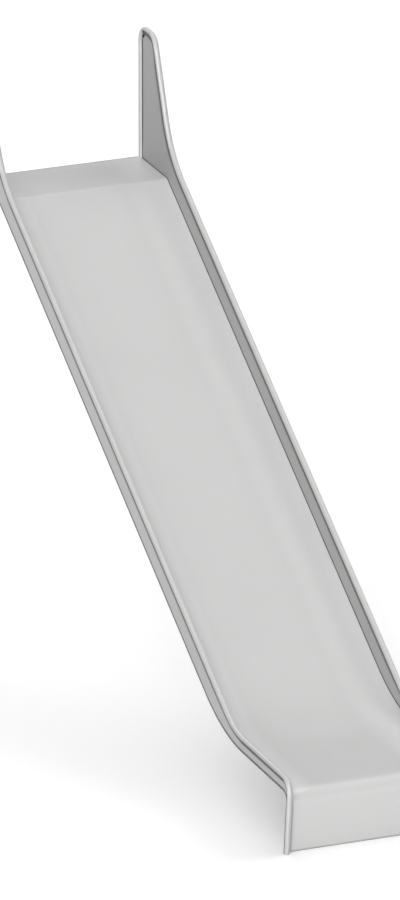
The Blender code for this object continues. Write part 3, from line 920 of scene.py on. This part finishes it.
def chute_bed():
    face = chute_route()
    outline = sheet_outline(face, face.offset(CHUTE_SHEET).ended_at_height(0))
    reach = CLEAR_WIDTH / 2 - GAP
    data = extrusion("bed_sheet", outline, -reach, reach, "X")
    bed = add_piece("bed_sheet", data, bed_finish, ["chute_bed"])
    cut(bed, [rail_notch(side) for side in SIDES.values()])
    bed.data.materials.append(under_finish.material)
    for facet in bed.data.polygons:
        if facet.normal.dot(SLIDING_WAY) < AWAY:
            facet.material_index = 1
    break_edges(bed)


def plug_place():
    """The hanging hole's centre, in the corner that the rail makes where it turns over the tip."""
    rail = rail_route()
    radius = rail.radii[0]
    centre = Vector((RAIL_REAR_Y - radius, PLATFORM_HEIGHT + FIN_HEIGHT - radius))
    reach = radius - RAIL_RADIUS - PLUG_EDGE_DISTANCE
    return centre + Vector((1, 1)).normalized() * reach


def side_panel(name, side):
    low, high = sorted((side * CLEAR_WIDTH / 2, side * (CLEAR_WIDTH / 2 + PANEL_SHEET)))
    below, above = panel_edges()
    outline = below.points()[1:] + above.points()[::-1]
    data = extrusion(name + "_panel_sheet", outline, low, high, "X")
    panel = add_piece(name + "_panel_sheet", data, panel_finish, [name + "_side_panel"])
    cut(panel, holes_through([plug_place()], PLUG_DIAMETER, low, high, "X"))
    # The inner faces take a darker steel than the outer faces of the same sheet, as painted shade
    panel.data.materials.append(shaded_inner_finish.material)
    for facet in panel.data.polygons:
        if facet.normal.x * side < AWAY:
            facet.material_index = 1
    add_lattice(panel)
    # A map of the band of heat tint and painted shade under the rail
    to_rail = distances(panel.data, rail_route().points()) - RAIL_RADIUS
    to_edge = distances(panel.data, below.points())
    share = numpy.maximum(to_rail / (to_rail + to_edge), to_rail / WIDEST_WALL)
    places = [vertex.co.y for vertex in panel.data.vertices]
    fin = (RAIL_REAR_Y - FIN_TOP_LENGTH, RAIL_REAR_Y - RAIL_RADIUS)
    store(panel.data, "shade_under_rail", share * numpy.interp(places, fin, (1, REAR_NARROWING)))
    store(panel.data, "to_edge", to_edge)
    break_edges(panel)


# The black plug puts a dark spot of painted shade in the corner under the rail's bend at the tip
def hole_plug(name, side):
    """A snap-in plug with domed heads over the hanging hole."""
    shank = PLUG_DIAMETER / 2 - GAP
    face = PANEL_SHEET / 2 + GAP / 2
    head = PLUG_HEAD_DIAMETER / 2
    top = [(face, shank)]
    for step in range(DOME_STEPS + 1):
        angle = math.pi / 2 * step / DOME_STEPS
        top.append((face + PLUG_HEAD * math.sin(angle), head * max(math.cos(angle), DOME_TOP)))
    bottom = [(-height, radius) for height, radius in top[::-1]]
    place = plug_place()
    location, along_x = (side * RAIL_X, place.x, place.y), (0, math.pi / 2, 0)
    button, node = name + "_plug_button", name + "_hole_plug"
    data = turned(button, bottom + top)
    add_piece(button, data, shade_spot_plug_finish, [node], location, along_x)


def rail(name, side):
    """The bent tube, and how far each point faces the panel's weld, for tint and painted shade."""
    path = subdivided(rail_route().points(), RAIL_STEP)
    turns = [2 * math.pi * step / TUBE_SIDES for step in range(TUBE_SIDES)]
    section = [
        (side * RAIL_X + RAIL_RADIUS * math.sin(turn), RAIL_RADIUS * math.cos(turn))
        for turn in turns
    ]
    data = sweep(name + "_rail_tube", path, section)
    # How far each point faces the panel: heat tint and painted shade on the tube's lower side
    shaded_side = []
    for point in path:
        strength = min(1.0, (RAIL_REAR_Y - point.x) / RAIL_TIP_RADIUS)
        shaded_side += [(1 + math.cos(turn)) * strength for turn in turns]
    store(data, "shaded_side", shaded_side)
    add_piece(name + "_rail_tube", data, rail_finish, [name + "_rail"])


chute_bed()
for name, side in SIDES.items():
    side_panel(name, side)
    hole_plug(name, side)
    rail(name, side)


# Seam welds


def seam(name, path, x, across, outward, size):
    """A long bead beside a route, on one side of a panel's face."""
    section = [(x + across * a * size, outward * b * size) for a, b in BEAD_SECTION]
    add_piece(name, sweep(name, path, section), weld_finish)


# The bed's seam starts inside the rear tube, and the rail's is sunk a little into the rail
bed_seam = chute_route().ended_at_height(WELD_LIFT)
bed_seam.corners[0].x = RAIL_REAR_Y - RAIL_RADIUS + WELD_LIFT
rail_seam = panel_edges()[1].offset(-RAIL_WELD_SINK).ended_at_height(WELD_LIFT)
bed_line, rail_line = (subdivided(route.points(), BEAD_STEP) for route in (bed_seam, rail_seam))
for name, side in SIDES.items():
    inner, outer = side * CLEAR_WIDTH / 2, side * (CLEAR_WIDTH / 2 + PANEL_SHEET)
    seam(name + "_bed_weld", bed_line, inner, -side, -1, BED_WELD)
    seam(name + "_rail_weld_in", rail_line, inner, -side, 1, RAIL_WELD)
    seam(name + "_rail_weld_out", rail_line, outer, side, 1, RAIL_WELD)


# Frame under the chute


def welds(name, beads, location=(0, 0, 0), rotation=(0, 0, 0), size=FRAME_WELD):
    """Short beads, each (start, end, first leg's way, second leg's way), as one piece."""
    mesh = bmesh.new()
    for start, end, first, second in beads:
        add_bead(mesh, start, end, first, second, size)
    add_piece(name, finished(mesh, name), weld_finish, (), location, rotation)


def stitches(reach, y, z, first, second):
    """Evenly spaced short beads along X."""
    half = STITCH_LENGTH / 2
    return [
        ((x - half, y, z), (x + half, y, z), first, second)
        for x in spread(reach - 2 * half, STITCHES)
    ]


def plate(node, outline, low, high, normal, location=(0, 0, 0), rotation=(0, 0, 0), holes=()):
    """A plate or folded sheet that replaces the CAD node, with its holes and broken edges."""
    name = node + "_plate"
    data = extrusion(name, outline, low, high, normal)
    piece = add_piece(name, data, frame_finish, [node], location, rotation)
    if holes:
        cut(piece, holes)
    break_edges(piece)


def stiffener_outline():
    """A channel open towards the chute, whose underside is at height 0."""
    half = STIFFENER_WIDTH / 2
    corners = [(-half, -GAP), (-half, -STIFFENER_DEPTH), (half, -STIFFENER_DEPTH), (half, -GAP)]
    face = Route(corners, [STIFFENER_BEND_RADIUS, STIFFENER_BEND_RADIUS])
    return sheet_outline(face, face.offset(STIFFENER_SHEET))


def under_chute(place, slope):
    """The point of the chute's underside below a point of its sliding face."""
    normal = Vector((-math.sin(slope), math.cos(slope)))
    return place - normal * CHUTE_SHEET


def front_stiffener_y():
    return chute_route().bend(2)[0].x + RUNOUT_STIFFENER_MARGIN


def stiffener_stations():
    """Each stiffener's name, its place on the sliding face and the slope there."""
    chute = chute_route()
    entry = Vector(((REAR_Y - ANGLE_LEG + BEND_Y) / 2, PLATFORM_HEIGHT))
    yield "entry_stiffener", entry, 0
    top, bottom = chute.bend(0)[-1], chute.bend(1)[0]
    for index in range(INCLINE_STIFFENERS):
        share = (index + 0.5) / INCLINE_STIFFENERS
        yield f"incline_stiffener_{index + 1}", top.lerp(bottom, share), INCLINE_ANGLE
    rear = chute.bend(1)[-1].x - RUNOUT_STIFFENER_MARGIN
    yield "runout_stiffener_rear", Vector((rear, EXIT_HEIGHT)), 0
    yield "runout_stiffener_front", Vector((front_stiffener_y(), EXIT_HEIGHT)), 0


def stiffeners():
    half = STIFFENER_WIDTH / 2
    beads = []
    for edge in (-1, 1):
        beads += stitches(STIFFENER_REACH, edge * half, 0, (0, edge, 0), (0, 0, -1))
    for node, station, slope in stiffener_stations():
        place = under_chute(station, slope)
        seat = (0, place.x, place.y), (slope, 0, 0)
        plate(node, stiffener_outline(), -STIFFENER_REACH, STIFFENER_REACH, "X", *seat)
        welds(node + "_welds", beads, *seat)


def mounting_angle():
    """The angle under the chute's rear edge, its gussets, and the beads that hold them."""
    corners = [(REAR_Y - ANGLE_LEG, ANGLE_TOP), (REAR_Y, ANGLE_TOP), (REAR_Y, ANGLE_TOP - ANGLE_LEG)]
    face = Route(corners, [ANGLE_BEND_RADIUS])
    outline = sheet_outline(face, face.offset(-ANGLE_SHEET))
    places = spread(ANGLE_REACH - MOUNT_HOLE_END_DISTANCE, MOUNT_HOLES)
    centres = [(x, ANGLE_TOP - MOUNT_HOLE_DROP) for x in places]
    holes = holes_through(centres, MOUNT_HOLE_DIAMETER, REAR_Y - ANGLE_SHEET, REAR_Y, "Y")
    plate("mounting_angle", outline, -ANGLE_REACH, ANGLE_REACH, "X", holes=holes)

    beads = stitches(ANGLE_REACH, REAR_Y - ANGLE_LEG, ANGLE_TOP + GAP, (0, -1, 0), (0, 0, -1))
    welds("mounting_angle_welds", beads)
    low, high = ANGLE_TOP - ANGLE_LEG + FRAME_WELD, ANGLE_TOP - ANGLE_SHEET - FRAME_WELD
    beside_rail = REAR_Y - ANGLE_END_WELD_SETBACK
    beads = []
    for side in SIDES.values():
        start, end = ((side * ANGLE_REACH, beside_rail, height) for height in (low, high))
        beads.append((start, end, (side, 0, 0), (0, 1, 0)))
    welds("mounting_angle_end_welds", beads, size=ANGLE_END_WELD)
    gussets([(a + b) / 2 for a, b in zip(places, places[1:])])


def gussets(places):
    """Three-cornered plates inside the mounting angle, welded along both legs on both sides."""
    top = -ANGLE_SHEET - GAP
    outline = [
        (top - GUSSET_CLIP, top),
        (top - GUSSET_LEG, top),
        (top, top - GUSSET_LEG),
        (top, top - GUSSET_CLIP),
    ]
    half = GUSSET_SHEET / 2
    inner = -ANGLE_SHEET
    near, far = top - 2 * GUSSET_CLIP, top - GUSSET_LEG + FRAME_WELD
    for index, x in enumerate(places, start=1):
        node = f"angle_gusset_{index}"
        location = (x, REAR_Y, ANGLE_TOP)
        plate(node, outline, -half, half, "X", location)
        beads = []
        for side in (-1, 1):
            edge = side * half
            beads.append(((edge, near, inner), (edge, far, inner), (side, 0, 0), (0, 0, -1)))
            beads.append(((edge, inner, near), (edge, inner, far), (side, 0, 0), (0, -1, 0)))
        welds(node + "_welds", beads, location)


def skirt_bar():
    """The flat bar behind the skirt's lower edge, stitched to it along its top."""
    front = CHUTE_SHEET + GAP
    top = SKIRT_BAR_LIFT + SKIRT_BAR_HEIGHT
    outline = rounded_plate(front, front + SKIRT_BAR_SHEET, SKIRT_BAR_LIFT, top, EDGE_BREAK)
    seat = (0, FOOT_Y, 0), (SKIRT_LEAN, 0, 0)
    plate("skirt_bar", outline, -STIFFENER_REACH, STIFFENER_REACH, "X", *seat)
    welds("skirt_bar_welds", stitches(STIFFENER_REACH, CHUTE_SHEET, top, (0, 1, 0), (0, 0, 1)), *seat)


def leg_levels():
    """Heights of the hanger plate's two ends and of the two bolts."""
    top = EXIT_HEIGHT - CHUTE_SHEET - HANGER_DROP
    bottom = top - HANGER_HEIGHT
    bolts = [bottom + BOLT_EDGE_DISTANCE, bottom + BOLT_EDGE_DISTANCE + BOLT_PITCH]
    return bottom, top, bolts


def ground_leg(name, side):
    """Hanger plate, slotted angle leg, base plate and the fasteners between them."""
    bottom, top, bolts = leg_levels()
    hanger_front = front_stiffener_y() + STIFFENER_WIDTH / 2 + GAP
    leg_front = hanger_front + HANGER_SHEET + GAP
    x = side * LEG_X
    hanger(name, x, hanger_front)

    near, far = LEG_X - LEG_FLANGE / 2, LEG_X + LEG_FLANGE / 2
    corners = [(near, leg_front), (far, leg_front), (far, leg_front + LEG_FLANGE)]
    face = Route(corners, [LEG_BEND_RADIUS])
    outline = mirrored(sheet_outline(face, face.offset(LEG_SHEET)), side)
    foot, head = BASE_PLATE_SHEET + GAP, bolts[-1] + LEG_HEADROOM
    centres, rear = [(x, z) for z in bolts], leg_front + LEG_SHEET
    slots = holes_through(centres, BOLT_HOLE_DIAMETER, leg_front, rear, "Y", SLOT_TRAVEL)
    plate(name + "_leg", outline, foot, head, "Z", holes=slots)

    inner, outer = side * near, side * far
    bend = LEG_BEND_RADIUS + LEG_SHEET
    front_run = (inner, leg_front, foot), (outer - side * bend, leg_front, foot)
    side_run = (outer, leg_front + bend, foot), (outer, leg_front + LEG_FLANGE, foot)
    welds(name + "_leg_foot_welds", [
        (*front_run, (0, -1, 0), (0, 0, 1)),
        (*side_run, (side, 0, 0), (0, 0, 1)),
    ])
    base_plate(name, x, leg_front + LEG_FLANGE / 2)
    for number, z in enumerate(bolts, start=1):
        leg_fastener(name + "_leg", number, x, hanger_front, z)


def hanger(name, x, front):
    """A plate on the front stiffener's rear flange, welded up both sides."""
    bottom, top, bolts = leg_levels()
    half = HANGER_WIDTH / 2
    outline = rounded_plate(x - half, x + half, bottom, top, PLATE_CORNER_RADIUS)
    rear = front + HANGER_SHEET
    holes = holes_through([(x, z) for z in bolts], BOLT_HOLE_DIAMETER, front, rear, "Y")
    plate(name + "_leg_hanger", outline, front, rear, "Y", holes=holes)
    flange = front - GAP
    low = EXIT_HEIGHT - CHUTE_SHEET - STIFFENER_DEPTH + STIFFENER_BEND_RADIUS
    high = top - PLATE_CORNER_RADIUS
    welds(name + "_leg_hanger_welds", [
        ((x + edge * half, flange, low), (x + edge * half, flange, high), (edge, 0, 0), (0, 1, 0))
        for edge in (-1, 1)
    ])


def base_plate(name, x, y):
    half_width, half_depth = BASE_PLATE_WIDTH / 2, BASE_PLATE_DEPTH / 2
    edges = (x - half_width, x + half_width, y - half_depth, y + half_depth)
    outline = rounded_plate(*edges, PLATE_CORNER_RADIUS)
    reach = half_width - ANCHOR_HOLE_END_DISTANCE
    centres = [(x - reach, y), (x + reach, y)]
    holes = holes_through(centres, ANCHOR_HOLE_DIAMETER, 0, BASE_PLATE_SHEET, "Z")
    plate(name + "_base_plate", outline, 0, BASE_PLATE_SHEET, "Z", holes=holes)


def chamfered(face, way):
    """A hexagon's levels from its chamfered end face, which looks along way, down to its flats."""
    levels = []
    for step in range(CHAMFER_STEPS + 1):
        depth = HEX_CHAMFER * step / CHAMFER_STEPS
        widest = HEX_ACROSS_FLATS / 2 + depth * HEX_CHAMFER_SLOPE
        levels.append((face - way * depth, hexagon(widest)))
    return levels


def leg_fastener(name, number, x, hanger_front, z):
    """A bolt from behind through washer, leg and hanger into a nut on the hanger's front."""
    along_y = (-math.pi / 2, 0, 0)
    washer_front = hanger_front + HANGER_SHEET + GAP + LEG_SHEET + GAP
    head_front = washer_front + WASHER_SHEET + GAP
    nut_front = hanger_front - GAP - NUT_HEIGHT
    shank = head_front - nut_front + BOLT_PROTRUSION
    radius = BOLT_DIAMETER / 2
    bore = radius + GAP
    steps = range(math.ceil(THREAD_LENGTH / THREAD_PITCH * THREAD_STEPS) + 1)
    heights = [-shank + THREAD_DEPTH + step * THREAD_PITCH / THREAD_STEPS for step in steps]
    flats = hexagon(HEX_ACROSS_FLATS)
    bolt_levels = [(-shank, radius - THREAD_DEPTH)] + [(height, thread(height)) for height in heights]
    bolt_levels += [(heights[-1] + THREAD_PITCH, radius), (0, radius), (0, flats)]
    bolt_levels += chamfered(BOLT_HEAD, 1)[::-1]
    nut_levels = [(0, bore)] + chamfered(0, -1) + chamfered(NUT_HEIGHT, 1)[::-1] + [(NUT_HEIGHT, bore)]
    outer = WASHER_DIAMETER / 2
    washer_levels = [(0, bore), (0, outer), (WASHER_SHEET, outer), (WASHER_SHEET, bore)]
    for kind, levels, y in (
        ("bolt", bolt_levels, head_front),
        ("washer", washer_levels, washer_front),
        ("nut", nut_levels, nut_front),
    ):
        node = f"{name}_{kind}_{number}"
        data = turned(node + "_steel", levels, bored=kind != "bolt")
        add_piece(node + "_steel", data, fastener_finish, [node], (x, y, z), along_y)


def rail_caps(name, side):
    """Discs with a rounded rim, which close the rail."""
    foot = rail_route().ended_at_height(0).corners[-1]
    radius, thickness = RAIL_RADIUS - GAP, RAIL_CAP + GAP
    levels = [(0, radius - CAP_FACE_INSET)]
    for step in range(DOME_STEPS + 1):
        angle = math.pi * step / DOME_STEPS
        height = thickness * (1 - math.cos(angle)) / 2
        levels.append((height, radius - CAP_RIM * (1 - math.sin(angle))))
    levels.append((thickness, radius - CAP_FACE_INSET))
    for end, y, low in (("rear", RAIL_REAR_Y, RAIL_REAR_FOOT), ("ground", foot.x, 0)):
        node = f"{name}_rail_{end}_cap"
        data = turned(node + "_disc", levels)
        location = (side * RAIL_X, y, low)
        add_piece(node + "_disc", data, rail_finish, [node], location)


stiffeners()
mounting_angle()
skirt_bar()
for name, side in SIDES.items():
    ground_leg(name, side)
    rail_caps(name, side)


# Stage


def white_floor():
    """A wide plane that is seen only from above. Its own glow is for the camera alone."""
    mesh = bmesh.new()
    bmesh.ops.create_grid(mesh, x_segments=1, y_segments=1, size=FLOOR_REACH)
    data = bpy.data.meshes.new("floor")
    mesh.to_mesh(data)
    mesh.free()
    floor = new_object("floor", data)
    material = bpy.data.materials.new("floor_finish")
    material.use_nodes = True
    nodes = Nodes(material.node_tree)
    shader = nodes.tree.nodes["Principled BSDF"]
    shader.inputs["Base Color"].default_value = FLOOR_COLOUR
    shader.inputs["Roughness"].default_value = 1.0
    shader.inputs["Specular IOR Level"].default_value = 0.0
    shader.inputs["Emission Color"].default_value = (1, 1, 1, 1)
    seen = nodes.add("ShaderNodeLightPath").outputs["Is Camera Ray"]
    nodes.join(nodes.math("MULTIPLY", seen, FLOOR_GLOW), shader.inputs["Emission Strength"])
    mix = nodes.add("ShaderNodeMixShader")
    nodes.join(nodes.add("ShaderNodeNewGeometry").outputs["Backfacing"], mix.inputs["Fac"])
    nodes.join(shader.outputs["BSDF"], mix.inputs[1])
    nodes.join(nodes.add("ShaderNodeBsdfTransparent").outputs["BSDF"], mix.inputs[2])
    nodes.join(mix.outputs["Shader"], nodes.tree.nodes["Material Output"].inputs["Surface"])
    data.materials.append(material)


def studio_sky():
    """Soft lights all round in a dark room. The camera itself sees plain white."""
    world = bpy.data.worlds.new("studio")
    scene.world = world
    world.use_nodes = True
    nodes = Nodes(world.node_tree)
    place = nodes.add("ShaderNodeTexCoord").outputs["Generated"]
    total = 0.0
    for way, strength, sharpness in SKY_LIGHTS:
        product = nodes.add("ShaderNodeVectorMath", operation="DOT_PRODUCT")
        product.inputs[1].default_value = Vector(way).normalized()
        nodes.join(place, product.inputs[0])
        towards = nodes.math("MAXIMUM", product.outputs["Value"], 0.0)
        lobe = nodes.math("MULTIPLY", nodes.math("POWER", towards, sharpness), strength)
        total = nodes.math("ADD", lobe, total)
    mix = nodes.add("ShaderNodeMix")
    nodes.join(nodes.add("ShaderNodeLightPath").outputs["Is Camera Ray"], mix.inputs["Factor"])
    nodes.join(total, mix.inputs["A"])
    mix.inputs["B"].default_value = 1.0
    background = nodes.tree.nodes["Background"]
    nodes.join(mix.outputs["Result"], background.inputs["Strength"])
    background.inputs["Color"].default_value = (1, 1, 1, 1)


def photo_camera():
    camera_data = bpy.data.cameras.new("camera")
    camera_data.lens = CAMERA_LENS
    camera_data.sensor_width = CAMERA_SENSOR
    camera_data.clip_end = FLOOR_REACH
    camera = new_object("camera", camera_data)
    flat = math.cos(CAMERA_ELEVATION)
    way = Vector((
        math.sin(CAMERA_AZIMUTH) * flat,
        -math.cos(CAMERA_AZIMUTH) * flat,
        math.sin(CAMERA_ELEVATION),
    ))
    camera.location = CAMERA_TARGET + way * CAMERA_DISTANCE
    camera.rotation_euler = (-way).to_track_quat("-Z", "Y").to_euler()
    scene.camera = camera


white_floor()
studio_sky()
photo_camera()
scene.view_settings.view_transform = "Standard"
scene.view_settings.look = "None"
